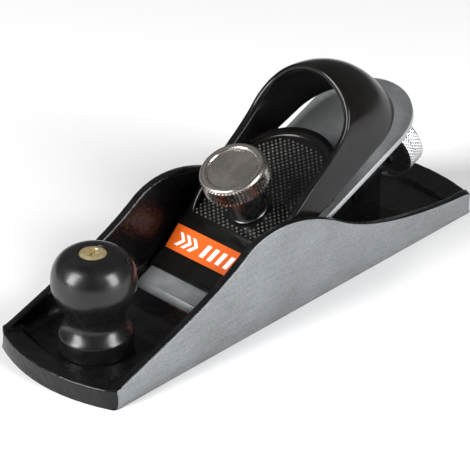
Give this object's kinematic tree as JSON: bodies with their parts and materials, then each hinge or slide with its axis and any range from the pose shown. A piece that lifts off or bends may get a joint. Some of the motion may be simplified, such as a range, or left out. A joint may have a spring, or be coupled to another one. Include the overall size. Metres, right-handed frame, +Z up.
{
  "type": "hand plane",
  "caption": "Low-angle block plane: cast body with curved cheeks, bevel-up cutter, screw-clamped lever cap with a palm hood, screw depth adjuster and front knob.",
  "frame": {"origin": "middle of the sole's underside", "axes": "+X from the toe to the heel, +Y across the sole, +Z up from the sole"},
  "size_m": [0.178, 0.052, 0.0648],
  "materials": {
    "casting_enamel": "glossy black enamel over rough cast iron",
    "ground_iron": "surface-ground, matt blue-grey",
    "cap_enamel": "glossy black enamel",
    "knob_black": "satin black",
    "screw_brass": "plain brass",
    "cutter_steel": "ground steel",
    "label_orange": "printed film",
    "clamp_nickel": "turned and nickel plated",
    "adjuster_chrome": "diamond knurled, bright",
    "hardware_steel": "zinc plated"
  },
  "bodies": {
    "plane_body": {"body_casting": "casting_enamel", "front_knob": "knob_black", "front_knob_screw": "screw_brass", "lever_cap": "cap_enamel", "label_plate": "label_orange", "clamp_stud": "hardware_steel", "adjuster_stud": "hardware_steel"},
    "cutter_carriage": {"cutter": "cutter_steel", "adjuster_yoke": "hardware_steel"},
    "depth_adjuster": {"adjuster_knob": "adjuster_chrome"},
    "clamp_collar": {"clamp_washer": "hardware_steel"},
    "clamp_screw": {"clamp_knob": "clamp_nickel"}
  },
  "joints": [
    {"name": "depth_travel", "type": "slide", "parent": "plane_body", "child": "cutter_carriage", "axis": [0.9205, 0, 0.3907], "range_m": [-0.0008, 0.003]},
    {"name": "depth_turn", "type": "hinge", "parent": "cutter_carriage", "child": "depth_adjuster", "pos_m": [0.06629, 0, 0.02313], "axis": [0.9205, 0, 0.3907], "range_deg": [-290, 1082]},
    {"name": "clamp_travel", "type": "slide", "parent": "plane_body", "child": "clamp_collar", "axis": [-0.3907, 0, 0.9205], "range_m": [0, 0.003]},
    {"name": "clamp_turn", "type": "hinge", "parent": "clamp_collar", "child": "clamp_screw", "pos_m": [0.00118, 0, 0.0245], "axis": [-0.3907, 0, 0.9205], "range_deg": [-2, 1082]}
  ],
  "couplings": [
    {"joint": "depth_turn", "follows": "depth_travel", "rad_per_m": 6283.2},
    {"joint": "clamp_turn", "follows": "clamp_travel", "rad_per_m": 6283.2}
  ]
}
